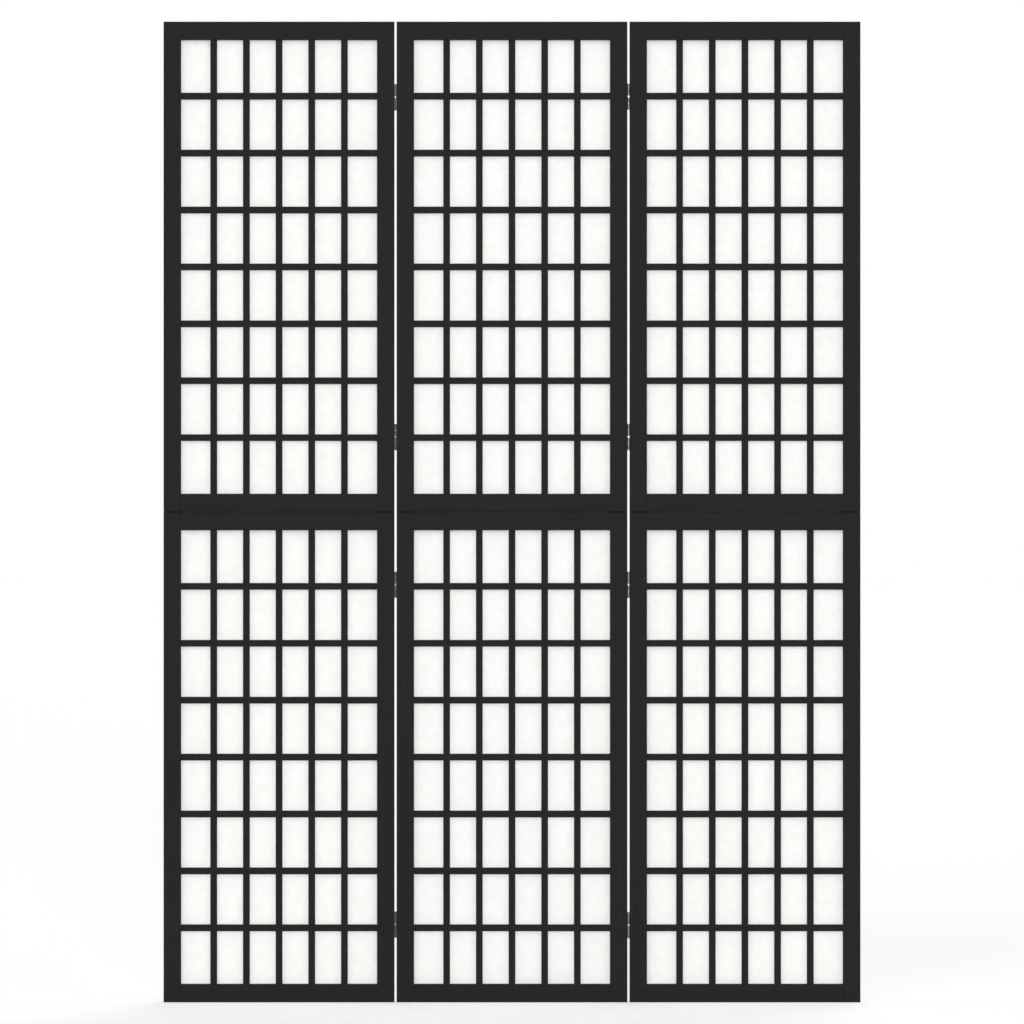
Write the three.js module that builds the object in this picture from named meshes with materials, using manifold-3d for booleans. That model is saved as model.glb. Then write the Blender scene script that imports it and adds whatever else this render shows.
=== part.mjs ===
// Three-panel shoji folding screen, in millimetres.
// +X runs to the right, -Y is the front and +Z is up. The origin is on the floor under the middle panel.
// Each panel is two framed lattice sections stacked on dowels, with a paper sheet behind each lattice.
// The left panel folds back on pins behind its gap, the right panel folds forward on pins before its gap.
import * as THREE from "three";
import { mergeVertices } from "three/addons/utils/BufferGeometryUtils.js";
import Module from "manifold-3d";

// Overall sizes
const screenHeight = 1700;
const panelWidth = 400;
const panelThickness = 18;
const panelGap = 4;

// Frame of a section
const stileWidth = 30;
const railHeight = 31.5;
const edgeEasing = 0.5;
const tenonThickness = 8;
const tenonShoulder = 7;
const woodPastTenon = 12;

// Lattice and paper
const columns = 6;
const rows = 8;
const barWidth = 11.5;
const barThickness = 7;
const latticeSetback = 3;
const rebateWidth = 6;
const endPaneTrim = 1.4; // the rails cover this much of the even step between the level bars
const paperThickness = 0.4;
const paperMargin = 0.5;

// Dowels between the lower and the upper section
const dowelDiameter = 8;
const dowelFromMiddle = 85;
const woodPastDowel = 7;

// Hinges
const hingeHeight = 45;
const hingeFromSectionEnd = 130;
const lowerHingeLift = 4;
const leafThickness = 0.9;
const leafFromFarFace = 4.3;
const barrelBreak = 3.6;
const pinHeadHeight = 0.8;
const screwRadius = 1.3;
const screwHeadRadius = 2.2;
const screwHeadRise = 0.15;
const screwLength = 12;
const screwTipLength = 2;
const screwFromLeafEdge = 5;
const screwFromLeafEnd = 8;

// Clearances, and how far a cut or a join runs past the face it crosses
const fit = 0.3;
const runningFit = 0.08;
const overrun = 1;

// Sides of the round pieces
const pinSides = 10;
const screwSides = 6;
const dowelSides = 12;

// Sizes that follow
const panelPitch = panelWidth + panelGap;
const sectionHeight = (screenHeight - fit) / 2;
const openingWidth = panelWidth - 2 * stileWidth;
const openingHeight = sectionHeight - 2 * railHeight;
const frontFace = -panelThickness / 2;
const backFace = panelThickness / 2;
const latticeFront = frontFace + latticeSetback;
const latticeBack = latticeFront + barThickness;
const barReach = rebateWidth - fit;
const tenonLength = stileWidth - woodPastTenon;
const dowelRadius = dowelDiameter / 2;
const dowelReach = railHeight - rebateWidth - woodPastDowel;
const barrelRadius = panelGap / 2;
const boreRadius = barrelRadius - leafThickness;
const pinRadius = boreRadius - runningFit;
const pinHeadRadius = barrelRadius - fit;
const pinOffset = panelThickness / 2 + fit + barrelRadius;
const leafFace = panelGap / 2 - fit;
const leafWidth = pinOffset + panelThickness / 2 - leafFromFarFace;
const knuckleHeight = (hingeHeight - barrelBreak - 2 * fit) / 4;

const panels = [
  { name: "left", place: -1 },
  { name: "middle", place: 0 },
  { name: "right", place: 1 },
];
const sections = [
  { name: "lower", base: 0, hingeLift: lowerHingeLift },
  { name: "upper", base: sectionHeight + fit, hingeLift: 0 },
];
// The pins of a gap stand on one side of the panels: +1 behind them, -1 before them.
const gaps = [
  { name: "left", place: -0.5, pinSide: 1, panelOnLeft: "left", panelOnRight: "middle" },
  { name: "right", place: 0.5, pinSide: -1, panelOnLeft: "middle", panelOnRight: "right" },
];

const wasm = await Module();
wasm.setup();

// Booleans

function toSolid(geometry) {
  const bare = geometry.clone();
  bare.deleteAttribute("normal");
  bare.deleteAttribute("uv");
  const merged = mergeVertices(bare);
  const vertProperties = new Float32Array(merged.attributes.position.array);
  const triVerts = new Uint32Array(merged.index.array);
  return new wasm.Manifold(new wasm.Mesh({ numProp: 3, vertProperties, triVerts }));
}

function toGeometry(solid) {
  const mesh = solid.getMesh();
  const geometry = new THREE.BufferGeometry();
  geometry.setAttribute("position", new THREE.BufferAttribute(mesh.vertProperties, 3));
  geometry.setIndex(new THREE.BufferAttribute(mesh.triVerts, 1));
  geometry.computeVertexNormals();
  return geometry;
}

function joined(solid, additions) {
  return additions.reduce((whole, addition) => whole.add(addition), solid);
}

function cut(solid, cutters) {
  return solid.subtract(joined(cutters[0], cutters.slice(1)));
}

// Basic shapes

function boxBetween(start, end) {
  const size = start.map((value, i) => Math.abs(end[i] - value));
  const centre = start.map((value, i) => (end[i] + value) / 2);
  return toSolid(new THREE.BoxGeometry(...size).translate(...centre));
}

// A bar with eased long edges, centred on its length, which runs along Z.
function easedBar(width, depth, length) {
  const x = width / 2;
  const y = depth / 2;
  const outline = new THREE.Shape();
  outline.moveTo(-x + edgeEasing, -y);
  outline.lineTo(x - edgeEasing, -y);
  outline.lineTo(x, -y + edgeEasing);
  outline.lineTo(x, y - edgeEasing);
  outline.lineTo(x - edgeEasing, y);
  outline.lineTo(-x + edgeEasing, y);
  outline.lineTo(-x, y - edgeEasing);
  outline.lineTo(-x, -y + edgeEasing);
  const bar = new THREE.ExtrudeGeometry(outline, { depth: length, bevelEnabled: false });
  return bar.translate(0, 0, -length / 2);
}

// A cylinder that stands on the given height.
function uprightCylinder(radius, height, sides, x, y, bottom) {
  const cylinder = new THREE.CylinderGeometry(radius, radius, height, sides);
  return toSolid(cylinder.rotateX(Math.PI / 2).translate(x, y, bottom + height / 2));
}

// A turned piece about the Z axis, from radius and height pairs that start and end on the axis.
function turned(profile, sides) {
  const points = profile.map(([radius, height]) => new THREE.Vector2(radius, height));
  return new THREE.LatheGeometry(points, sides).rotateX(Math.PI / 2);
}

// Materials

function paintedWood() {
  return new THREE.MeshStandardMaterial({ color: 0x2b2b2b, roughness: 0.6, metalness: 0 });
}

function paper() {
  return new THREE.MeshStandardMaterial({ color: 0xfbfbf8, roughness: 0.9, metalness: 0 });
}

function steel() {
  return new THREE.MeshStandardMaterial({ color: 0x737475, roughness: 0.35, metalness: 1 });
}

function named(name, geometry, material) {
  const mesh = new THREE.Mesh(geometry, material);
  mesh.name = name;
  return mesh;
}

// Places that several pieces share

function barCentres(count, start, length) {
  const centres = [];
  for (let i = 1; i < count; i += 1) {
    centres.push(start + (length * i) / count);
  }
  return centres;
}

const uprightCentres = barCentres(columns, -openingWidth / 2, openingWidth);
const levelCentres = barCentres(rows, railHeight - endPaneTrim, openingHeight + 2 * endPaneTrim);

function hingeCentres(section) {
  const low = hingeFromSectionEnd + section.hingeLift;
  const high = sectionHeight - hingeFromSectionEnd + section.hingeLift;
  return [low, high];
}

const screwHeights = [-1, 1].map((end) => end * (hingeHeight / 2 - screwFromLeafEnd));
const screwFromPin = leafWidth - screwFromLeafEdge;

// Stiles: each runs the full height of its section. Side is -1 for the left one and 1 for the right one.

function stileMortises(side) {
  const inner = (side * openingWidth) / 2;
  const end = inner + side * (tenonLength + fit);
  const half = tenonThickness / 2 + fit;
  const bottoms = [0, sectionHeight - railHeight];
  return bottoms.map((bottom) =>
    boxBetween(
      [inner - side * overrun, -half, bottom + tenonShoulder - fit],
      [end, half, bottom + railHeight - tenonShoulder + fit],
    ),
  );
}

function stileRebate(side) {
  const inner = (side * openingWidth) / 2;
  return boxBetween(
    [inner - side * overrun, latticeBack, railHeight - rebateWidth],
    [inner + side * rebateWidth, backFace + overrun, sectionHeight - railHeight + rebateWidth],
  );
}

function stileHousings(side) {
  const inner = (side * openingWidth) / 2;
  const half = barWidth / 2 + fit;
  return levelCentres.map((height) =>
    boxBetween(
      [inner - side * overrun, latticeFront - fit, height - half],
      [inner + side * rebateWidth, backFace + overrun, height + half],
    ),
  );
}

function pilotHoles(side, section, pinSide) {
  const outer = (side * panelWidth) / 2;
  const y = pinSide * (pinOffset - screwFromPin);
  const depth = screwLength + overrun;
  const holes = [];
  for (const centre of hingeCentres(section)) {
    for (const height of screwHeights) {
      const hole = new THREE.CylinderGeometry(screwRadius + fit, screwRadius + fit, depth, screwSides);
      hole.rotateZ(Math.PI / 2);
      hole.translate(outer + side * (overrun - depth / 2), y, centre + height);
      holes.push(toSolid(hole));
    }
  }
  return holes;
}

function stile(side, section, gap) {
  const blank = easedBar(stileWidth, panelThickness, sectionHeight);
  blank.translate((side * (panelWidth - stileWidth)) / 2, 0, sectionHeight / 2);
  const cutters = [...stileMortises(side), stileRebate(side), ...stileHousings(side)];
  if (gap) {
    cutters.push(...pilotHoles(side, section, gap.pinSide));
  }
  return toGeometry(cut(toSolid(blank), cutters));
}

// Rails: each lies between the stiles. Edge is 1 where its inner edge is on top and -1 where it is below.

function railTenons(bottom) {
  return [-1, 1].map((side) =>
    boxBetween(
      [side * (openingWidth / 2 - fit - overrun), -tenonThickness / 2, bottom + tenonShoulder],
      [side * (openingWidth / 2 + tenonLength), tenonThickness / 2, bottom + railHeight - tenonShoulder],
    ),
  );
}

function railRebate(inner, edge) {
  const reach = openingWidth / 2 + overrun;
  return boxBetween(
    [-reach, latticeBack, inner + edge * overrun],
    [reach, backFace + overrun, inner - edge * rebateWidth],
  );
}

function railHousings(inner, edge) {
  const half = barWidth / 2 + fit;
  return uprightCentres.map((x) =>
    boxBetween(
      [x - half, latticeFront - fit, inner + edge * overrun],
      [x + half, backFace + overrun, inner - edge * rebateWidth],
    ),
  );
}

function dowels(radius, bottom, height) {
  return [-dowelFromMiddle, dowelFromMiddle].map((x) =>
    uprightCylinder(radius, height, dowelSides, x, 0, bottom),
  );
}

function railBlank(bottom, edge) {
  const inner = edge > 0 ? bottom + railHeight : bottom;
  const bar = easedBar(railHeight, panelThickness, openingWidth - 2 * fit);
  bar.rotateY(Math.PI / 2).translate(0, 0, bottom + railHeight / 2);
  const shaped = cut(toSolid(bar), [railRebate(inner, edge), ...railHousings(inner, edge)]);
  return joined(shaped, railTenons(bottom));
}

function bottomRail(section) {
  const blank = railBlank(0, 1);
  if (section.name === "lower") {
    return toGeometry(blank);
  }
  const sockets = dowels(dowelRadius + fit, -overrun, overrun + dowelReach + fit);
  return toGeometry(cut(blank, sockets));
}

function topRail(section) {
  const blank = railBlank(sectionHeight - railHeight, -1);
  if (section.name === "upper") {
    return toGeometry(blank);
  }
  const pegs = dowels(dowelRadius, sectionHeight - overrun, overrun + fit + dowelReach);
  return toGeometry(joined(blank, pegs));
}

// The lattice: half-lapped bars, flush on both faces, whose ends lie in the housings of the frame.

function lattice() {
  const half = barWidth / 2;
  const uprights = uprightCentres.map((x) =>
    boxBetween(
      [x - half, latticeFront, railHeight - barReach],
      [x + half, latticeBack, railHeight + openingHeight + barReach],
    ),
  );
  const levels = levelCentres.map((z) =>
    boxBetween(
      [-openingWidth / 2 - barReach, latticeFront, z - half],
      [openingWidth / 2 + barReach, latticeBack, z + half],
    ),
  );
  return toGeometry(joined(uprights[0], [...uprights.slice(1), ...levels]));
}

// The paper: one sheet glued to the back of the lattice, its edge in the rebate.

function paperSheet() {
  const edge = 2 * (rebateWidth - paperMargin);
  const sheet = new THREE.BoxGeometry(openingWidth + edge, paperThickness, openingHeight + edge);
  return sheet.translate(0, latticeBack + fit + paperThickness / 2, sectionHeight / 2);
}

// Hinges, about their pin's middle: the leaf lies left of the gap and runs back from a pin before it.

function knuckle(bottom) {
  const barrel = uprightCylinder(barrelRadius, knuckleHeight, pinSides, 0, 0, bottom);
  const root = boxBetween(
    [-leafFace, 0, bottom],
    [-leafFace + leafThickness, barrelRadius + fit + overrun, bottom + knuckleHeight],
  );
  return barrel.add(root);
}

function leafScrew(height) {
  const inPlate = leafThickness / 2;
  const profile = [
    [0, -screwHeadRise],
    [screwHeadRadius, -screwHeadRise],
    [screwHeadRadius, 0],
    [screwRadius, inPlate],
    [screwRadius, screwLength - screwTipLength],
    [0, screwLength],
  ];
  const screw = turned(profile, screwSides);
  screw.rotateY(-Math.PI / 2);
  screw.translate(-leafFace + leafThickness, screwFromPin, height);
  return toSolid(screw);
}

function hingeLeaf() {
  const plate = boxBetween(
    [-leafFace, barrelRadius + fit, -hingeHeight / 2],
    [-leafFace + leafThickness, leafWidth, hingeHeight / 2],
  );
  const knuckles = [-hingeHeight / 2, barrelBreak / 2].map(knuckle);
  const boreEnd = hingeHeight / 2 + overrun;
  const bore = uprightCylinder(boreRadius, 2 * boreEnd, pinSides, 0, 0, -boreEnd);
  const blank = joined(plate, knuckles).subtract(bore);
  return toGeometry(joined(blank, screwHeights.map(leafScrew)));
}

function hingePin() {
  const end = hingeHeight / 2 + fit;
  const crown = end + pinHeadHeight;
  const upperHalf = [
    [pinRadius, end],
    [pinHeadRadius, end],
    [pinRadius, crown],
    [0, crown],
  ];
  const lowerHalf = upperHalf.map(([radius, height]) => [radius, -height]).toReversed();
  return turned([...lowerHalf, ...upperHalf], pinSides);
}

// A leaf turned about the Y axis by half a turn is its own partner across the gap.
function hinge(name, leafOwner, partnerOwner) {
  const leaf = named(`${name}_${leafOwner}_leaf`, hingeLeaf(), steel());
  const partner = named(`${name}_${partnerOwner}_leaf`, hingeLeaf(), steel());
  partner.rotation.y = Math.PI;
  const group = new THREE.Group();
  group.add(leaf, partner, named(`${name}_pin`, hingePin(), steel()));
  return group;
}

// Assembly

function sectionOf(panel, section) {
  const gapOnLeft = gaps.find((gap) => gap.panelOnRight === panel.name);
  const gapOnRight = gaps.find((gap) => gap.panelOnLeft === panel.name);
  const name = `${panel.name}_${section.name}`;
  const group = new THREE.Group();
  group.position.z = section.base;
  group.add(
    named(`${name}_left_stile`, stile(-1, section, gapOnLeft), paintedWood()),
    named(`${name}_right_stile`, stile(1, section, gapOnRight), paintedWood()),
    named(`${name}_bottom_rail`, bottomRail(section), paintedWood()),
    named(`${name}_top_rail`, topRail(section), paintedWood()),
    named(`${name}_lattice`, lattice(), paintedWood()),
    named(`${name}_paper`, paperSheet(), paper()),
  );
  return group;
}

function panelOf(panel) {
  const group = new THREE.Group();
  group.position.x = panel.place * panelPitch;
  for (const section of sections) {
    group.add(sectionOf(panel, section));
  }
  return group;
}

// Behind the panels a hinge is turned about the Z axis, which brings its leaf to the right of the gap.
function hingesOf(gap) {
  const turnedRound = gap.pinSide > 0;
  const leafOwner = turnedRound ? gap.panelOnRight : gap.panelOnLeft;
  const partnerOwner = turnedRound ? gap.panelOnLeft : gap.panelOnRight;
  const group = new THREE.Group();
  group.position.x = gap.place * panelPitch;
  let number = 1;
  for (const section of sections) {
    for (const height of hingeCentres(section)) {
      const placed = hinge(`${gap.name}_hinge_${number}`, leafOwner, partnerOwner);
      placed.position.set(0, gap.pinSide * pinOffset, section.base + height);
      placed.rotation.z = turnedRound ? Math.PI : 0;
      group.add(placed);
      number += 1;
    }
  }
  return group;
}

const screen = new THREE.Group();
for (const panel of panels) {
  screen.add(panelOf(panel));
}
for (const gap of gaps) {
  screen.add(hingesOf(gap));
}

export default screen;
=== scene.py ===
import math
import random

import bmesh
import bpy
import numpy as np
from mathutils import Matrix, Vector


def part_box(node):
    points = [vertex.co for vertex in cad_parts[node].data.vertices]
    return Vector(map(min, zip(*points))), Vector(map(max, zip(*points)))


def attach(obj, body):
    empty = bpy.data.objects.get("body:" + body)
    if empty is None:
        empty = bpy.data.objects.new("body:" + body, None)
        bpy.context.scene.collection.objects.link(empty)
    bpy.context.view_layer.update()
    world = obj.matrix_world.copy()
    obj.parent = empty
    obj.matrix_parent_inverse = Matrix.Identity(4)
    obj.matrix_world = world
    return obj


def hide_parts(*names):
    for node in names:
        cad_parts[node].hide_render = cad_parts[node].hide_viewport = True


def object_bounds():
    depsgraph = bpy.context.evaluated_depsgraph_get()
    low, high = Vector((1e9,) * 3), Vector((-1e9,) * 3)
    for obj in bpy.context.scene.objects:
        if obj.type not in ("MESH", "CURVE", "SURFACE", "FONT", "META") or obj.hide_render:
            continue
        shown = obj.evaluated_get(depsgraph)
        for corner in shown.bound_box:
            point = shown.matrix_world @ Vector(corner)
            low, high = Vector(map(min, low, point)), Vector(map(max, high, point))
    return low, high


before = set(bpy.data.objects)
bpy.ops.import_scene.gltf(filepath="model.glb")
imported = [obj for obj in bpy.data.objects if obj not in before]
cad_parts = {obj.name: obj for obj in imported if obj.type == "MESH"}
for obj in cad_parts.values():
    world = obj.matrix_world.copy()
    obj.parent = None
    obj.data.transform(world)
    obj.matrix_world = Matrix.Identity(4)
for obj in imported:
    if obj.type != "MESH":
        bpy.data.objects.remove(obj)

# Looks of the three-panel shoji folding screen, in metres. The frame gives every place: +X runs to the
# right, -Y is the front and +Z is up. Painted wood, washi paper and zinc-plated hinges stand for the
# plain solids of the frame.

cad_low, cad_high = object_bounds()

MM = 0.001
PANELS = ("left", "middle", "right")
SECTIONS = ("lower", "upper")

# Frame of a section
RAIL_HEIGHT = 31.5 * MM
REBATE_WIDTH = 6 * MM
TENON_LENGTH = 18 * MM
TENON_HALF_THICKNESS = 4 * MM
TENON_SHOULDER = 7 * MM
JOINT_CLEARANCE = 0.3 * MM
GLUE_LINE = 0.35 * MM
STILE_SEAM_LINE = 1.7 * MM
RAIL_SEAM_LINE = 0.8 * MM
LINE_DEPTH = 7 * MM  # the seam lines are wider than the gap of the frame, as the photograph shows them
ARRIS_RADIUS = 0.6 * MM
ARRIS_SEGMENTS = 3

# Lattice
END_PANE_TRIM = 1.4 * MM  # the rails cover this much of the even step between the level bars
COLUMNS = 6
ROWS = 8
BAR_WIDTH = 11.5 * MM
BAR_ARRIS_RADIUS = 0.35 * MM
BAR_ARRIS_SEGMENTS = 2
LAP_CLEARANCE = 0.04 * MM

# Paper
PAPER_THICKNESS = 0.4 * MM
PAPER_OFF_BARS = 0.03 * MM
PAPER_BULGE = 0.22 * MM
PAPER_STEPS_PER_PANE = 6
PAPER_SEED = 11

# Hinges, about their pin's middle
LEAF_THICKNESS = 0.9 * MM
LEAF_OFF_WOOD = 0.03 * MM
LEAF_CORNER = 0.25 * MM
BARREL_BREAK = 3.6 * MM
KNUCKLE_GAP = 0.3 * MM
CURL_END_DEG = 108
CURL_STEPS = 24
PIN_RADIUS = 1.02 * MM
PIN_HEAD_HEIGHT = 0.8 * MM
PIN_HEAD_RADIUS = 1.7 * MM
SCREW_HEAD_RADIUS = 2.2 * MM
SCREW_RADIUS = 1.3 * MM
SCREW_LENGTH = 12 * MM
SCREW_TIP_LENGTH = 2 * MM
SCREW_HEAD_RISE = 0.15 * MM
SCREW_FROM_LEAF_EDGE = 5 * MM
SCREW_FROM_LEAF_END = 8 * MM
ROUND_SIDES = 32

# Cross recess of a screw
RECESS_REACH = 1.25 * MM
RECESS_HALF_WIDTH = 0.27 * MM
RECESS_DEPTH = 0.85 * MM
RECESS_TAPER = 0.45
SCREW_DOME_SINK = 0.03 * MM
SCREW_DOME_STEPS = 5
PIN_DOME_STEPS = 6

# Edges sharper than the first angle are eased, and those sharper than the second are shaded crisp
EASED_FROM_DEG = 80
CRISP_FROM_DEG = 40

HAIR = 0.01 * MM


# Meshes


def corners(low, high):
    return Vector(low), Vector(high)


def grown(box, margin):
    """The box, larger by margin on each side."""
    low, high = box
    step = Vector((margin,) * 3)
    return low - step, high + step


def inside(point, box):
    low, high = box
    return all(low[i] <= point[i] <= high[i] for i in range(3))


def carved(solids, cuts):
    """A closed grid of quads round the boxes in solids, less the boxes in cuts."""
    all_corners = [corner for box in solids + cuts for corner in box]
    marks = [sorted({round(corner[i], 7) for corner in all_corners}) for i in range(3)]
    filled = np.zeros([len(line) + 1 for line in marks], bool)
    for boxes, value in ((solids, True), (cuts, False)):
        for low, high in boxes:
            start = [marks[i].index(round(low[i], 7)) + 1 for i in range(3)]
            end = [marks[i].index(round(high[i], 7)) + 1 for i in range(3)]
            filled[start[0]:end[0], start[1]:end[1], start[2]:end[2]] = value
    mesh = bmesh.new()
    points = {}

    def point(cell):
        key = tuple(cell)
        if key not in points:
            points[key] = mesh.verts.new([marks[i][key[i]] for i in range(3)])
        return points[key]

    for cell in np.argwhere(filled):
        for axis in range(3):
            across, up = (axis + 1) % 3, (axis + 2) % 3
            for side in (-1, 1):
                beside = cell.copy()
                beside[axis] += side
                if filled[tuple(beside)]:
                    continue
                base = cell - 1
                base[axis] += side > 0
                ring = [base.copy() for _ in range(4)]
                ring[1][across] += 1
                ring[2][across] += 1
                ring[2][up] += 1
                ring[3][up] += 1
                mesh.faces.new([point(c) for c in (ring if side > 0 else ring[::-1])])
    return mesh


def round_arrises(mesh, radius, segments, sharp):
    """Rounds each outward right-angled edge and marks the new faces.

    An edge whose middle lies in one of the sharp boxes stays as it is.
    """
    arris = mesh.faces.layers.float.new("arris")
    chosen = []
    for edge in mesh.edges:
        middle = (edge.verts[0].co + edge.verts[1].co) / 2
        outward = edge.is_convex and edge.calc_face_angle() > math.radians(EASED_FROM_DEG)
        if outward and not any(inside(middle, box) for box in sharp):
            chosen.append(edge)
    rounded = bmesh.ops.bevel(
        mesh,
        geom=chosen,
        offset=radius,
        segments=segments,
        profile=0.5,
        affect="EDGES",
        clamp_overlap=True,
    )
    for face in rounded["faces"]:
        face[arris] = 1.0


def finish_mesh(mesh, name, materials, weighted=True):
    """A shown object from a bmesh, smooth over its rounded edges and crisp at the others."""
    bmesh.ops.recalc_face_normals(mesh, faces=mesh.faces)
    for face in mesh.faces:
        face.smooth = True
    for edge in mesh.edges:
        edge.smooth = edge.calc_face_angle(0) < math.radians(CRISP_FROM_DEG)
    data = bpy.data.meshes.new(name)
    mesh.to_mesh(data)
    mesh.free()
    for material in materials:
        data.materials.append(material)
    piece = bpy.data.objects.new(name, data)
    bpy.context.scene.collection.objects.link(piece)
    if weighted:
        normals = piece.modifiers.new("flat_faces", "WEIGHTED_NORMAL")
        normals.keep_sharp = True
        normals.weight = 100
    return piece


def turned(profile, sides):
    """A closed piece turned about the Z axis, from radius and height pairs that start and end on the axis."""
    mesh = bmesh.new()
    rings = []
    for radius, height in profile:
        if radius == 0:
            rings.append([mesh.verts.new((0, 0, height))])
            continue
        angles = [2 * math.pi * i / sides for i in range(sides)]
        places = [(radius * math.cos(a), radius * math.sin(a), height) for a in angles]
        rings.append([mesh.verts.new(place) for place in places])
    for lower, upper in zip(rings, rings[1:]):
        for i in range(sides):
            j = (i + 1) % sides
            below = [lower[k % len(lower)] for k in (i, j)]
            above = [upper[k % len(upper)] for k in (j, i)]
            ring = below + above
            mesh.faces.new(list(dict.fromkeys(ring)))
    return mesh


# Materials

PAINT_DARK = (0.0098, 0.0100, 0.0099)
PAINT_LIGHT = (0.0164, 0.0166, 0.0164)
PAINT_RUBBED = (0.021, 0.0207, 0.020)
PAPER_THIN = (0.960, 0.960, 0.955)
PAPER_THICK = (0.895, 0.893, 0.882)
PAPER_LIT_THIN = (0.955, 0.953, 0.945)
PAPER_LIT_THICK = (0.875, 0.868, 0.845)
PAPER_LIGHT_THROUGH = 0.55
# Near black for the hinge leaves' marked edges: painted shade, standing for the shade in the gap between the
# stiles.
STEEL_PAINTED_SHADE = (0.02, 0.019, 0.018)


def material_with(name):
    """An empty material, its node tree and its output."""
    material = bpy.data.materials.new(name)
    material.use_nodes = True
    tree = material.node_tree
    tree.nodes.clear()
    return material, tree, tree.nodes.new("ShaderNodeOutputMaterial")


def node(tree, kind, settings=None, **inputs):
    """A node with its settings and its inputs, each a value or another node's output."""
    made = tree.nodes.new(kind)
    for key, value in (settings or {}).items():
        setattr(made, key, value)
    for key, value in inputs.items():
        socket = made.inputs[key.replace("_", " ")]
        if isinstance(value, bpy.types.NodeSocket):
            tree.links.new(value, socket)
        else:
            socket.default_value = value
    return made


def math_node(tree, operation, a, b=0.0, clamp=False):
    made = tree.nodes.new("ShaderNodeMath")
    made.operation = operation
    made.use_clamp = clamp
    for socket, value in zip(made.inputs, (a, b)):
        if isinstance(value, bpy.types.NodeSocket):
            tree.links.new(value, socket)
        else:
            socket.default_value = value
    return made.outputs[0]


def spread(tree, value, low, high, start=0.0, end=1.0):
    """A value from start to end as one from low to high."""
    made = node(tree, "ShaderNodeMapRange", {"clamp": True}, Value=value)
    for key, number in (("From Min", start), ("From Max", end), ("To Min", low), ("To Max", high)):
        made.inputs[key].default_value = number
    return made.outputs["Result"]


def mixed_colour(tree, share, first, second):
    made = tree.nodes.new("ShaderNodeMix")
    made.data_type = "RGBA"
    tree.links.new(share, made.inputs["Factor"])
    for key, colour in (("A", first), ("B", second)):
        socket = [s for s in made.inputs if s.name == key and s.type == "RGBA"][0]
        if isinstance(colour, bpy.types.NodeSocket):
            tree.links.new(colour, socket)
        else:
            socket.default_value = (*colour, 1.0)
    return [s for s in made.outputs if s.type == "RGBA"][0]


def stretched_noise(tree, along, size, length, detail=3.0):
    """Noise of streaks size wide and length long, which run along an axis. Sizes are in metres."""
    place = tree.nodes.new("ShaderNodeTexCoord")
    scale = [1.0, 1.0, 1.0]
    if along is not None:
        scale["XYZ".index(along)] = size / length
    mapping = node(tree, "ShaderNodeMapping", Vector=place.outputs["Object"], Scale=scale)
    pattern = node(
        tree,
        "ShaderNodeTexNoise",
        Vector=mapping.outputs["Vector"],
        Scale=1.0 / size,
        Detail=detail,
        Roughness=0.55,
    )
    return pattern.outputs["Fac"]


def painted_wood(name, along):
    """Matt black paint over straight-grained softwood, whose grain runs along an axis."""
    material, tree, output = material_with(name)
    bands = stretched_noise(tree, along, 7 * MM, 420 * MM, 2.0)
    fibres = stretched_noise(tree, along, 0.7 * MM, 26 * MM, 3.0)
    pores = stretched_noise(tree, along, 0.35 * MM, 5 * MM, 1.0)
    clouds = stretched_noise(tree, None, 60 * MM, 60 * MM, 2.0)
    arris = node(tree, "ShaderNodeAttribute", {"attribute_name": "arris"}).outputs["Fac"]
    rubbed = math_node(tree, "MULTIPLY", arris, spread(tree, clouds, 0.0, 1.0, 0.45, 0.7))

    wide = math_node(tree, "MULTIPLY", bands, 0.6)
    fine = math_node(tree, "MULTIPLY", fibres, 0.4)
    tone = math_node(tree, "ADD", wide, fine)
    tone = spread(tree, tone, 0.0, 1.0, 0.36, 0.64)
    paint = mixed_colour(tree, tone, PAINT_DARK, PAINT_LIGHT)
    colour = mixed_colour(tree, rubbed, paint, PAINT_RUBBED)

    banded = spread(tree, bands, 0.53, 0.66, 0.3, 0.7)
    sheen = math_node(tree, "ADD", banded, spread(tree, clouds, -0.03, 0.03))
    sheen = math_node(tree, "ADD", sheen, spread(tree, fibres, -0.04, 0.05, 0.3, 0.7))
    sheen = math_node(tree, "SUBTRACT", sheen, math_node(tree, "MULTIPLY", rubbed, 0.08))

    dents = math_node(tree, "MULTIPLY", spread(tree, pores, 1.0, 0.0, 0.28, 0.42), -0.6)
    relief = math_node(tree, "ADD", dents, math_node(tree, "MULTIPLY", fibres, 0.5))
    relief = math_node(tree, "ADD", relief, math_node(tree, "MULTIPLY", bands, 0.8))
    bump = node(tree, "ShaderNodeBump", Strength=0.5, Distance=0.08 * MM, Height=relief)
    shader = node(
        tree,
        "ShaderNodeBsdfPrincipled",
        Base_Color=colour,
        Roughness=sheen,
        Normal=bump.outputs["Normal"],
    )
    shader.inputs["Specular IOR Level"].default_value = 0.08
    tree.links.new(shader.outputs["BSDF"], output.inputs["Surface"])
    return material


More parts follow.
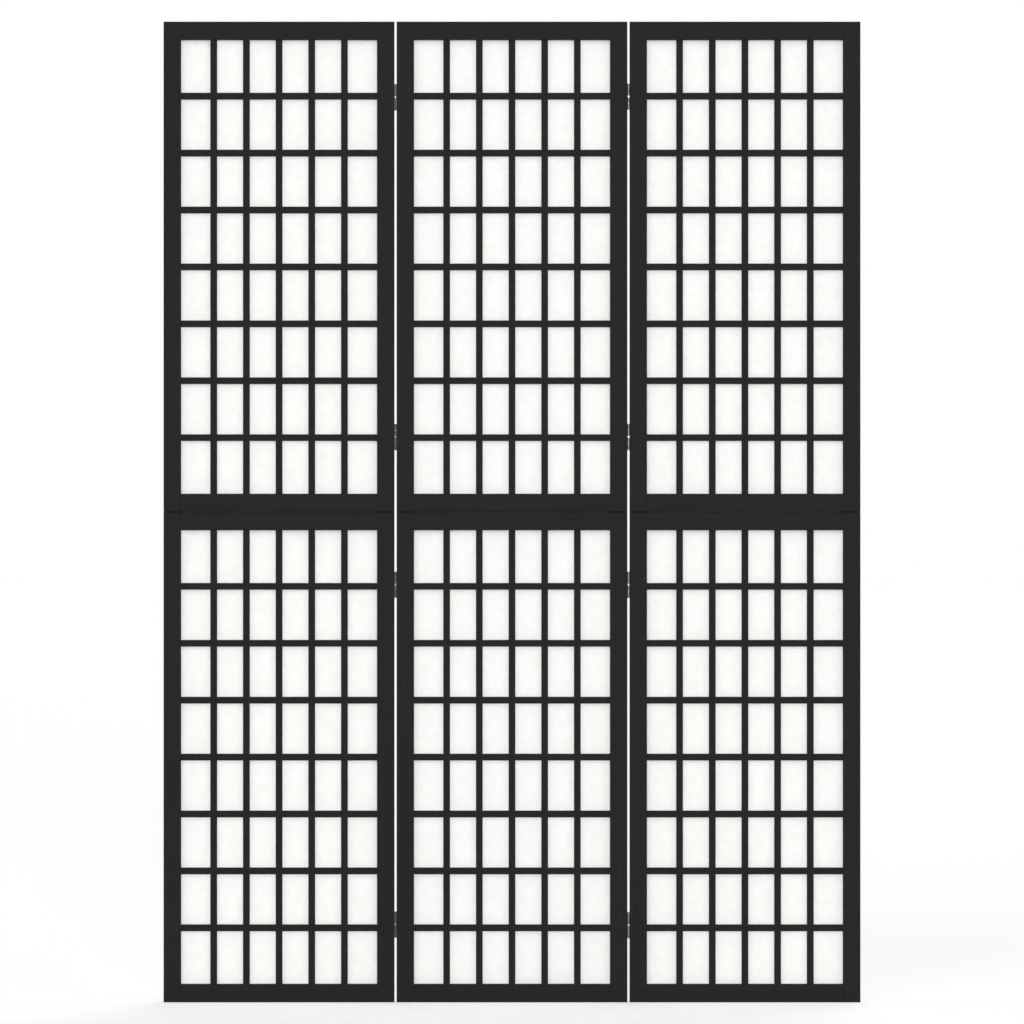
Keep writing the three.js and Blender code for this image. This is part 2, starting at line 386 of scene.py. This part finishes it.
def washi_paper(name):
    """White paper with long loose fibres and a faint cloudiness, which lets some light through."""
    material, tree, output = material_with(name)
    clouds = stretched_noise(tree, None, 14 * MM, 14 * MM, 3.0)
    place = tree.nodes.new("ShaderNodeTexCoord")
    fibres = None
    for tilt, seed in ((0.35, 3.0), (1.45, 7.0), (2.5, 11.0)):
        turn = node(
            tree,
            "ShaderNodeMapping",
            {"vector_type": "TEXTURE"},
            Vector=place.outputs["Object"],
            Rotation=(0.0, tilt, 0.0),
            Location=(seed, 0.0, seed),
            Scale=(1.0, 1.0, 22.0),
        )
        strand = node(
            tree,
            "ShaderNodeTexNoise",
            Vector=turn.outputs["Vector"],
            Scale=1.0 / (0.9 * MM),
            Detail=1.0,
            Distortion=0.6,
        )
        line = spread(tree, strand.outputs["Fac"], 0.0, 1.0, 0.60, 0.74)
        fibres = line if fibres is None else math_node(tree, "MAXIMUM", fibres, line)
    strands = math_node(tree, "MULTIPLY", fibres, 0.5)
    thick = math_node(tree, "ADD", strands, spread(tree, clouds, 0.0, 0.4, 0.3, 0.7))
    colour = mixed_colour(tree, thick, PAPER_THIN, PAPER_THICK)
    tint = mixed_colour(tree, thick, PAPER_LIT_THIN, PAPER_LIT_THICK)
    bump = node(tree, "ShaderNodeBump", Strength=0.3, Distance=0.06 * MM, Height=thick)
    front = node(
        tree,
        "ShaderNodeBsdfPrincipled",
        Base_Color=colour,
        Roughness=spread(tree, fibres, 0.86, 0.74),
        Normal=bump.outputs["Normal"],
    )
    front.inputs["Specular IOR Level"].default_value = 0.2
    through = node(tree, "ShaderNodeBsdfTranslucent", Color=tint)
    both = tree.nodes.new("ShaderNodeMixShader")
    both.inputs[0].default_value = PAPER_LIGHT_THROUGH
    tree.links.new(front.outputs["BSDF"], both.inputs[1])
    tree.links.new(through.outputs["BSDF"], both.inputs[2])
    tree.links.new(both.outputs["Shader"], output.inputs["Surface"])
    return material


def zinc_steel(name, tone, dull, roughness, along):
    """Zinc-plated steel with a drawn grain, whose plating is dull in places, with painted shade on its marked
    edges.
    """
    material, tree, output = material_with(name)
    bloom = stretched_noise(tree, None, 9 * MM, 9 * MM, 1.0)
    drawn = stretched_noise(tree, along, 0.25 * MM, 6 * MM, 2.0)
    streaks = math_node(tree, "MULTIPLY", drawn, 0.35)
    patches = math_node(tree, "MULTIPLY", bloom, 0.65)
    share = spread(tree, math_node(tree, "ADD", patches, streaks), 0.0, 1.0, 0.36, 0.64)
    plated = mixed_colour(tree, share, tuple(dull * t for t in tone), tone)
    # Painted shade: the leaf's rounded arrises and its free edge are mixed towards near black, for the shade
    # in the gap between the stiles.
    shaded_edges = node(tree, "ShaderNodeAttribute", {"attribute_name": "arris"}).outputs["Fac"]
    colour = mixed_colour(tree, math_node(tree, "MULTIPLY", shaded_edges, 0.8), plated, STEEL_PAINTED_SHADE)
    patchy = spread(tree, bloom, roughness - 0.05, roughness + 0.07, 0.3, 0.7)
    sheen = math_node(tree, "ADD", patchy, spread(tree, drawn, -0.04, 0.05, 0.3, 0.7))
    bump = node(tree, "ShaderNodeBump", Strength=0.2, Distance=0.02 * MM, Height=drawn)
    shader = node(
        tree,
        "ShaderNodeBsdfPrincipled",
        Base_Color=colour,
        Roughness=sheen,
        Metallic=1.0,
        Normal=bump.outputs["Normal"],
    )
    tree.links.new(shader.outputs["BSDF"], output.inputs["Surface"])
    return material


WOOD_UPRIGHT = painted_wood("black_paint_on_upright_grain", "Z")
WOOD_LEVEL = painted_wood("black_paint_on_level_grain", "X")
PAPER = washi_paper("washi_paper")
LEAF_STEEL = zinc_steel("zinc_plated_leaf", (0.17, 0.17, 0.173), 0.5, 0.36, "Z")
PIN_STEEL = zinc_steel("bright_pin", (0.95, 0.95, 0.955), 0.95, 0.12, "Z")
SCREW_STEEL = zinc_steel("zinc_plated_screw", (0.42, 0.42, 0.425), 0.6, 0.30, None)


# Places that the frame gives


def bar_centres(count, start, end):
    return [start + (end - start) * i / count for i in range(1, count)]


class Section:
    """One framed lattice section: its outline, its opening and its lattice's bar centres."""

    def __init__(self, panel, level):
        self.panel = panel
        self.name = f"{panel}_{level}"
        self.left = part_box(f"{self.name}_left_stile")
        self.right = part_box(f"{self.name}_right_stile")
        self.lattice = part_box(f"{self.name}_lattice")
        self.low = self.left[0]
        self.high = self.right[1]
        self.inner_left = self.left[1].x
        self.inner_right = self.right[0].x
        self.opening_bottom = self.low.z + RAIL_HEIGHT
        self.opening_top = self.high.z - RAIL_HEIGHT
        lower_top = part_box(f"{panel}_lower_left_stile")[1].z
        upper_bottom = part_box(f"{panel}_upper_left_stile")[0].z
        self.seam = (lower_top + upper_bottom) / 2
        self.uprights = bar_centres(COLUMNS, self.inner_left, self.inner_right)
        step_start = self.opening_bottom - END_PANE_TRIM
        step_end = self.opening_top + END_PANE_TRIM
        self.levels = bar_centres(ROWS, step_start, step_end)

    def rebate(self):
        """The step behind the lattice, all round the opening."""
        return corners(
            (self.inner_left - REBATE_WIDTH, self.lattice[1].y, self.opening_bottom - REBATE_WIDTH),
            (self.inner_right + REBATE_WIDTH, self.high.y + REBATE_WIDTH, self.opening_top + REBATE_WIDTH),
        )

    def upright_slots(self):
        """Where the uprights of the lattice reach into the rails."""
        low, high = self.rebate()
        half = BAR_WIDTH / 2 + JOINT_CLEARANCE
        front = self.lattice[0].y - JOINT_CLEARANCE
        return [corners((x - half, front, low.z), (x + half, low.y, high.z)) for x in self.uprights]

    def level_slots(self):
        """Where the levels of the lattice reach into the stiles."""
        low, high = self.rebate()
        half = BAR_WIDTH / 2 + JOINT_CLEARANCE
        front = self.lattice[0].y - JOINT_CLEARANCE
        return [corners((low.x, front, z - half), (high.x, low.y, z + half)) for z in self.levels]

    def rail_spans(self):
        return {
            "bottom_rail": (self.low.z, self.opening_bottom),
            "top_rail": (self.opening_top, self.high.z),
        }

    def tenons(self, bottom, top, clearance):
        """The tenons of one rail, or with a clearance the mortises that take them."""
        half = TENON_HALF_THICKNESS + clearance
        low_z = bottom + TENON_SHOULDER - clearance
        high_z = top - TENON_SHOULDER + clearance
        reach = TENON_LENGTH + clearance
        return [
            corners((self.inner_left - reach, -half, low_z), (self.inner_left, half, high_z)),
            corners((self.inner_right, -half, low_z), (self.inner_right + reach, half, high_z)),
        ]


# Frame of a section


def stile(section, side):
    """One stile with its mortises, rebate and slots. Its inner edge stays sharp where a rail meets it."""
    node_name = f"{section.name}_{side}_stile"
    outline, cores = drawn_back(section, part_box(node_name), STILE_SEAM_LINE)
    low, high = outline
    mortises = []
    for span in section.rail_spans().values():
        mortises += section.tenons(*span, JOINT_CLEARANCE)
    slots = section.level_slots()
    cuts = [clipped(box, outline) for box in [*mortises, *slots, section.rebate()]]
    cuts = [box for box in cuts if box]
    inner = high.x if side == "left" else low.x
    meetings = [
        corners((inner - HAIR, low.y - HAIR, bottom + HAIR), (inner + HAIR, high.y + HAIR, top - HAIR))
        for bottom, top in section.rail_spans().values()
    ]
    floor = section.rebate()[0].y
    seat = corners((low.x - HAIR, floor - HAIR, low.z - HAIR), (high.x + HAIR, floor + HAIR, high.z + HAIR))
    sharp = [grown(box, HAIR) for box in cuts[:-1] + cores] + meetings + [seat]
    mesh = carved([outline, *cores], cuts)
    round_arrises(mesh, ARRIS_RADIUS, ARRIS_SEGMENTS, sharp)
    piece = finish_mesh(mesh, f"{node_name}_eased", [WOOD_UPRIGHT])
    return dressed(piece, section.panel, node_name)


def drawn_back(section, box, line):
    """The box drawn back from the seam by half a dark line, and the core behind that line.

    The cores of the two sections meet at the seam, so that no light comes through it.
    """
    low, high = (corner.copy() for corner in box)
    front = low.y + LINE_DEPTH
    back = high.y - LINE_DEPTH
    cores = []
    if abs(low.z - section.seam) < RAIL_HEIGHT / 2:
        low.z = section.seam + line / 2
        cores.append(corners((low.x, front, section.seam), (high.x, back, low.z)))
    if abs(high.z - section.seam) < RAIL_HEIGHT / 2:
        high.z = section.seam - line / 2
        cores.append(corners((low.x, front, high.z), (high.x, back, section.seam)))
    return (low, high), cores


def clipped(box, outline):
    """The part of a box inside an outline, or None."""
    low = Vector(map(max, box[0], outline[0]))
    high = Vector(map(min, box[1], outline[1]))
    return (low, high) if all(high[i] - low[i] > HAIR for i in range(3)) else None


def rail(section, which):
    """One rail with its tenons, rebate and slots."""
    node_name = f"{section.name}_{which}"
    bottom, top = section.rail_spans()[which]
    between = corners(
        (section.inner_left, section.low.y, bottom),
        (section.inner_right, section.high.y, top),
    )
    (low, high), cores = drawn_back(section, between, RAIL_SEAM_LINE)
    cores.append(corners((low.x, low.y + LINE_DEPTH, low.z), (high.x, high.y - LINE_DEPTH, high.z)))
    slots = section.upright_slots()
    cuts = [clipped(box, between) for box in [*slots, section.rebate()]]
    low.x += GLUE_LINE
    high.x -= GLUE_LINE
    outline = (low, high)
    tenons = [grown_in_x(box, GLUE_LINE) for box in section.tenons(bottom, top, 0.0)]
    floor = section.rebate()[0].y
    ends = [
        corners((x - HAIR, low.y - HAIR, low.z - HAIR), (x + HAIR, high.y + HAIR, high.z + HAIR))
        for x in (low.x, high.x)
    ]
    seat = corners((low.x - HAIR, floor - HAIR, low.z - HAIR), (high.x + HAIR, floor + HAIR, high.z + HAIR))
    sharp = [grown(box, HAIR) for box in tenons + cuts[:-1] + cores] + ends + [seat]
    mesh = carved([outline, *tenons, *cores], cuts)
    round_arrises(mesh, ARRIS_RADIUS, ARRIS_SEGMENTS, sharp)
    piece = finish_mesh(mesh, f"{node_name}_eased", [WOOD_LEVEL])
    return dressed(piece, section.panel, node_name)


def grown_in_x(box, margin):
    step = Vector((margin, 0, 0))
    return box[0] - step, box[1] + step


def dressed(piece, panel, node_name):
    """The piece rides on its panel and stands for its node."""
    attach(piece, f"{panel}_panel")
    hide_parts(node_name)
    return piece


# Lattice


def lattice(section):
    """Half-lapped bars: the uprights keep their front half at a crossing, the levels their back half."""
    low, high = section.lattice
    middle = (low.y + high.y) / 2
    half = BAR_WIDTH / 2
    lap = half + LAP_CLEARANCE
    bars = bmesh.new()
    for x in section.uprights:
        bar = corners((x - half, low.y, low.z), (x + half, high.y, high.z))
        laps = [
            corners((x - half, middle - LAP_CLEARANCE, z - lap), (x + half, high.y, z + lap))
            for z in section.levels
        ]
        add_bar(bars, bar, laps, 0)
    for z in section.levels:
        bar = corners((low.x, low.y, z - half), (high.x, high.y, z + half))
        laps = [
            corners((x - lap, low.y, z - half), (x + lap, middle + LAP_CLEARANCE, z + half))
            for x in section.uprights
        ]
        add_bar(bars, bar, laps, 1)
    piece = finish_mesh(bars, f"{section.name}_lattice_bars", [WOOD_UPRIGHT, WOOD_LEVEL])
    return dressed(piece, section.panel, f"{section.name}_lattice")


def add_bar(bars, bar, laps, material_index):
    """Adds one bar to the lattice's mesh, with its long edges eased."""
    mesh = carved([bar], laps)
    low, high = bar
    along = 2 if material_index == 0 else 0
    ends = []
    for end in (low, high):
        start, stop = low.copy(), high.copy()
        start[along] = stop[along] = end[along]
        ends.append(grown((start, stop), HAIR))
    round_arrises(mesh, BAR_ARRIS_RADIUS, BAR_ARRIS_SEGMENTS, [grown(box, HAIR) for box in laps] + ends)
    for face in mesh.faces:
        face.material_index = material_index
    data = bpy.data.meshes.new("bar")
    mesh.to_mesh(data)
    mesh.free()
    bars.from_mesh(data)
    bpy.data.meshes.remove(data)


# Paper


def pane_lines(edge_low, centres, edge_high):
    """Places across a sheet: its edges, its bars, and even steps between them."""
    stops = [edge_low, *centres, edge_high]
    lines = []
    for start, end in zip(stops, stops[1:]):
        steps = [i / PAPER_STEPS_PER_PANE for i in range(PAPER_STEPS_PER_PANE)]
        lines += [start + (end - start) * step for step in steps]
    return lines + [edge_high]


def paper(section, chance):
    """One sheet glued to the back of the lattice. It stands a hair proud between the bars."""
    low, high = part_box(f"{section.name}_paper")
    xs = pane_lines(low.x, section.uprights, high.x)
    zs = pane_lines(low.z, section.levels, high.z)
    bulges = [
        [chance.uniform(0.2, 1.0) * PAPER_BULGE for _ in range(COLUMNS)]
        for _ in range(ROWS)
    ]
    front = section.lattice[1].y + PAPER_OFF_BARS
    mesh = bmesh.new()
    layers = []
    for depth in (0.0, PAPER_THICKNESS):
        rows = []
        for k, z in enumerate(zs):
            row = []
            for i, x in enumerate(xs):
                column = min(i // PAPER_STEPS_PER_PANE, COLUMNS - 1)
                level = min(k // PAPER_STEPS_PER_PANE, ROWS - 1)
                u = i / PAPER_STEPS_PER_PANE - column
                v = k / PAPER_STEPS_PER_PANE - level
                bulge = bulges[level][column] * math.sin(math.pi * u) * math.sin(math.pi * v)
                row.append(mesh.verts.new((x, front + bulge + depth, z)))
            rows.append(row)
        layers.append(rows)
    for rows, flip in zip(layers, (False, True)):
        for k in range(len(zs) - 1):
            for i in range(len(xs) - 1):
                ring = [rows[k][i], rows[k][i + 1], rows[k + 1][i + 1], rows[k + 1][i]]
                mesh.faces.new(ring[::-1] if flip else ring)
    rims = [rim_of(rows) for rows in layers]
    for i in range(len(rims[0])):
        j = (i + 1) % len(rims[0])
        mesh.faces.new([rims[0][j], rims[0][i], rims[1][i], rims[1][j]])
    piece = finish_mesh(mesh, f"{section.name}_paper_sheet", [PAPER], weighted=False)
    dressed(piece, section.panel, f"{section.name}_paper")
    return piece


def rim_of(rows):
    """The outer points of a grid, in order round it."""
    right = [row[-1] for row in rows[1:]]
    left = [row[0] for row in rows[1:-1]]
    return [*rows[0], *right, *rows[-1][-2::-1], *left[::-1]]


# Hinges, about their pin's middle: the leaf lies left of the gap and runs back from a pin before it


class HingeSize:
    """Sizes of the hinges, from the boxes of the first one in the right gap."""

    def __init__(self):
        pin_low, pin_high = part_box("right_hinge_1_pin")
        leaf_low, leaf_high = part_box("right_hinge_1_middle_leaf")
        self.centre = (pin_low + pin_high) / 2
        self.height = leaf_high.z - leaf_low.z
        self.barrel_radius = self.centre.y - leaf_low.y
        self.width = leaf_high.y - self.centre.y
        self.plate_x = LEAF_OFF_WOOD + LEAF_THICKNESS / 2 - self.barrel_radius
        self.knuckle = (self.height - BARREL_BREAK - 2 * KNUCKLE_GAP) / 4
        self.knuckle_starts = (-self.height / 2, BARREL_BREAK / 2)
        self.screw_y = self.width - SCREW_FROM_LEAF_EDGE
        self.screw_heights = [s * (self.height / 2 - SCREW_FROM_LEAF_END) for s in (-1, 1)]


def curled(point, curl_radius):
    """A point of the flat blank, on the leaf as it is rolled round the pin."""
    x, y, z = point
    if y >= 0:
        return Vector((x - curl_radius, y, z))
    angle = math.pi - y / curl_radius
    radius = curl_radius - x
    return Vector((radius * math.cos(angle), radius * math.sin(angle), z))


def rolled_leaf(size):
    """One leaf bent from a flat blank, with two knuckles and two countersunk holes."""
    half = LEAF_THICKNESS / 2
    curl_radius = -size.plate_x
    curl_length = curl_radius * math.radians(180 + CURL_END_DEG)
    steps = []
    for start in size.knuckle_starts:
        for i in range(CURL_STEPS):
            far = -curl_length * (i + 1) / CURL_STEPS
            near = -curl_length * i / CURL_STEPS
            steps.append(corners((-half, far, start), (half, near, start + size.knuckle)))
    plate = corners((-half, 0.0, -size.height / 2), (half, size.width, size.height / 2))
    relief = size.barrel_radius + KNUCKLE_GAP
    keep = [(start, start + size.knuckle) for start in size.knuckle_starts]
    gaps = gaps_between(keep, -size.height / 2, size.height / 2)
    cuts = [corners((-half, 0.0, start), (half, relief, end)) for start, end in gaps]
    mesh = carved([plate, *steps], cuts)
    round_arrises(mesh, LEAF_CORNER, 2, [])
    shade_free_edge(mesh, size)
    for height in size.screw_heights:
        drilled(mesh, size.screw_y, height)
    bmesh.ops.dissolve_degenerate(mesh, dist=HAIR / 5, edges=mesh.edges)
    for vertex in mesh.verts:
        vertex.co = curled(vertex.co, curl_radius)
    return mesh


def shade_free_edge(mesh, size):
    """Marks the sheared edge of the plate for painted shade, as the rounded arrises beside it are marked."""
    arris = mesh.faces.layers.float["arris"]
    for face in mesh.faces:
        if face.calc_center_median().y > size.width - HAIR:
            face[arris] = 1.0


def gaps_between(spans, start, end):
    """The stretches from start to end that no span covers."""
    gaps = []
    at = start
    for low, high in spans:
        if low > at:
            gaps.append((at, low))
        at = high
    if at < end:
        gaps.append((at, end))
    return gaps


def drilled(mesh, y, z):
    """Cuts a countersunk hole through the blank, whose wide side faces +X."""
    half = LEAF_THICKNESS / 2
    slack = KNUCKLE_GAP / 3
    profile = [
        (0, -half - slack),
        (SCREW_RADIUS + slack, -half - slack),
        (SCREW_RADIUS + slack, -half / 2),
        (SCREW_HEAD_RADIUS + slack, half),
        (SCREW_HEAD_RADIUS + slack, half + slack),
        (0, half + slack),
    ]
    cutter = turned(profile, ROUND_SIDES)
    place = Matrix.Translation((0, y, z)) @ Matrix.Rotation(math.pi / 2, 4, "Y")
    bmesh.ops.transform(cutter, matrix=place, verts=cutter.verts)
    replace_mesh(mesh, difference(mesh, cutter))


def difference(mesh, cutter):
    """The mesh less the cutter, as Blender mesh data."""
    objects = []
    for part in (mesh, cutter):
        bmesh.ops.recalc_face_normals(part, faces=part.faces)
        data = bpy.data.meshes.new("boolean")
        part.to_mesh(data)
        made = bpy.data.objects.new("boolean", data)
        bpy.context.scene.collection.objects.link(made)
        objects.append(made)
    cut = objects[0].modifiers.new("cut", "BOOLEAN")
    cut.operation = "DIFFERENCE"
    cut.solver = "EXACT"
    cut.object = objects[1]
    depsgraph = bpy.context.evaluated_depsgraph_get()
    result = bpy.data.meshes.new_from_object(objects[0].evaluated_get(depsgraph))
    for made in objects:
        data = made.data
        bpy.data.objects.remove(made)
        bpy.data.meshes.remove(data)
    cutter.free()
    return result


def replace_mesh(mesh, data):
    mesh.clear()
    mesh.from_mesh(data)
    bpy.data.meshes.remove(data)


def leaf_screws(size):
    """The two screws of a leaf. Their heads lie in the countersinks, and their shanks run into the stile."""
    one = screw()
    data = bpy.data.meshes.new("screw")
    one.to_mesh(data)
    one.free()
    both = bmesh.new()
    for height in size.screw_heights:
        start = len(both.verts)
        both.from_mesh(data)
        both.verts.ensure_lookup_table()
        place = Matrix.Translation((size.plate_x + LEAF_THICKNESS / 2, size.screw_y, height))
        place = place @ Matrix.Rotation(math.pi / 2, 4, "Y")
        bmesh.ops.transform(both, matrix=place, verts=both.verts[start:])
    bpy.data.meshes.remove(data)
    return both


def screw():
    """A countersunk cross-head screw. Its head faces +Z, and the plate's face is at height 0."""
    angles = [math.pi / 2 * i / SCREW_DOME_STEPS for i in range(SCREW_DOME_STEPS, -1, -1)]
    dome = [
        (SCREW_HEAD_RADIUS * math.sin(a), SCREW_HEAD_RISE * math.cos(a) - SCREW_DOME_SINK)
        for a in angles
    ]
    dome[-1] = (0, dome[-1][1])
    profile = [
        (0, -SCREW_LENGTH),
        (SCREW_RADIUS, -SCREW_LENGTH + SCREW_TIP_LENGTH),
        (SCREW_RADIUS, -LEAF_THICKNESS * 0.75),
        *dome,
    ]
    mesh = turned(profile, ROUND_SIDES)
    reach = RECESS_REACH
    half = RECESS_HALF_WIDTH
    top = SCREW_HEAD_RISE + 0.2 * MM
    arms = [
        corners((-reach, -half, -RECESS_DEPTH), (reach, half, top)),
        corners((-half, -reach, -RECESS_DEPTH), (half, reach, top)),
    ]
    recess = carved(arms, [])
    for vertex in recess.verts:
        if vertex.co.z < 0:
            vertex.co.x *= RECESS_TAPER
            vertex.co.y *= RECESS_TAPER
    replace_mesh(mesh, difference(mesh, recess))
    return mesh


def hinge_pin(size):
    """A riveted pin with a domed head at each end."""
    end = size.height / 2 + KNUCKLE_GAP
    angles = [math.pi / 2 * i / PIN_DOME_STEPS for i in range(PIN_DOME_STEPS + 1)]
    dome = [
        (PIN_HEAD_RADIUS * math.cos(a), end + PIN_HEAD_HEIGHT * math.sin(a))
        for a in angles
    ]
    dome[-1] = (0, dome[-1][1])
    upper = [(PIN_RADIUS, end), *dome]
    lower = [(radius, -height) for radius, height in reversed(upper)]
    return turned([*lower, *upper], ROUND_SIDES)


def in_place(mesh, turn, centre, name, materials, body, node_name):
    """A hinge piece made about the pin's middle, turned and moved to its place."""
    bmesh.ops.transform(mesh, matrix=Matrix.Translation(centre) @ turn, verts=mesh.verts)
    piece = finish_mesh(mesh, name, materials)
    return dressed(piece, body, node_name)


def hinge(size, gap, number):
    """One hinge of a gap: two leaves, their screws and the pin."""
    name = f"{gap}_hinge_{number}"
    low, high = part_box(f"{name}_pin")
    centre = (low + high) / 2
    behind = centre.y > 0
    whole = Matrix.Rotation(math.pi, 4, "Z") if behind else Matrix.Identity(4)
    partner = whole @ Matrix.Rotation(math.pi, 4, "Y")
    for panel, turn in (("middle", whole), (gap, partner)):
        leaf = f"{name}_{panel}_leaf"
        in_place(rolled_leaf(size), turn, centre, f"{leaf}_rolled", [LEAF_STEEL], panel, leaf)
        in_place(leaf_screws(size), turn, centre, f"{leaf}_screws", [SCREW_STEEL], panel, leaf)
    in_place(hinge_pin(size), whole, centre, f"{name}_pin_riveted", [PIN_STEEL], "middle", f"{name}_pin")


# The whole screen

paper_chance = random.Random(PAPER_SEED)
for panel_name in PANELS:
    for level_name in SECTIONS:
        one_section = Section(panel_name, level_name)
        stile(one_section, "left")
        stile(one_section, "right")
        rail(one_section, "bottom_rail")
        rail(one_section, "top_rail")
        lattice(one_section)
        paper(one_section, paper_chance)

hinge_size = HingeSize()
for gap_name in ("left", "right"):
    for hinge_number in range(1, 5):
        hinge(hinge_size, gap_name, hinge_number)


# Studio: a pale floor, white surroundings and soft lamps

FLOOR_HALF = 60.0
FLOOR_TONE = 0.86
FLOOR_LIFT = 0.43
AMBIENT = 0.30
LAMPS = (
    # name, azimuth it shines from (0 is the front, 90 the right), elevation, strength, apparent width
    ("key", -25, 32, 0.60, 40),
    ("front", 4, 8, 1.23, 16),
    ("fill", 50, 25, 0.30, 50),
    ("back", 165, 30, 1.05, 50),
)


def seen_directly(tree):
    """1 for the rays that show the surroundings: from the camera, and in gloss and glass."""
    path = tree.nodes.new("ShaderNodeLightPath")
    shine = math_node(tree, "MAXIMUM", path.outputs["Is Glossy Ray"], path.outputs["Is Transmission Ray"])
    return math_node(tree, "MAXIMUM", path.outputs["Is Camera Ray"], shine)


def surroundings():
    world = bpy.data.worlds.new("white_studio")
    world.use_nodes = True
    tree = world.node_tree
    tree.nodes.clear()
    strength = spread(tree, seen_directly(tree), AMBIENT, 1.0)
    background = node(tree, "ShaderNodeBackground", Color=(1.0, 1.0, 1.0, 1.0), Strength=strength)
    output = tree.nodes.new("ShaderNodeOutputWorld")
    tree.links.new(background.outputs["Background"], output.inputs["Surface"])
    bpy.context.scene.world = world


def studio_floor():
    material, tree, output = material_with("pale_floor")
    lift = spread(tree, seen_directly(tree), 0.0, FLOOR_LIFT)
    shader = node(
        tree,
        "ShaderNodeBsdfPrincipled",
        Base_Color=(FLOOR_TONE, FLOOR_TONE, FLOOR_TONE, 1.0),
        Roughness=0.9,
        Emission_Color=(1.0, 1.0, 1.0, 1.0),
        Emission_Strength=lift,
    )
    shader.inputs["Specular IOR Level"].default_value = 0.0
    tree.links.new(shader.outputs["BSDF"], output.inputs["Surface"])
    mesh = bmesh.new()
    reach = FLOOR_HALF
    outline = ((-reach, -reach), (reach, -reach), (reach, reach), (-reach, reach))
    mesh.faces.new([mesh.verts.new((x, y, cad_low.z)) for x, y in outline])
    floor = finish_mesh(mesh, "studio_floor", [material], weighted=False)


def lamp(name, azimuth, elevation, strength, width):
    light = bpy.data.lights.new(name, "SUN")
    light.energy = strength
    light.angle = math.radians(width)
    piece = bpy.data.objects.new(name, light)
    around, up = math.radians(azimuth), math.radians(elevation)
    towards = Vector((math.sin(around) * math.cos(up), -math.cos(around) * math.cos(up), math.sin(up)))
    piece.rotation_euler = towards.to_track_quat("Z", "Y").to_euler()
    bpy.context.scene.collection.objects.link(piece)


CAMERA_LENS = 200.0
CAMERA_SENSOR = 36.0
VIEW_WIDTH = 1.775


def camera():
    """Straight on at the screen's middle, from far away, as the photograph was taken."""
    data = bpy.data.cameras.new("photograph")
    data.lens = CAMERA_LENS
    data.sensor_width = CAMERA_SENSOR
    data.clip_end = 200.0
    piece = bpy.data.objects.new("photograph", data)
    distance = VIEW_WIDTH * CAMERA_LENS / CAMERA_SENSOR
    centre = (cad_low + cad_high) / 2
    panel_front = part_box("middle_lower_left_stile")[0].y
    piece.location = (centre.x, panel_front - distance, centre.z)
    piece.rotation_euler = (math.radians(90), 0, 0)
    bpy.context.scene.collection.objects.link(piece)
    bpy.context.scene.camera = piece


surroundings()
studio_floor()
for lamp_facts in LAMPS:
    lamp(*lamp_facts)
camera()
bpy.context.scene.view_settings.view_transform = "Standard"
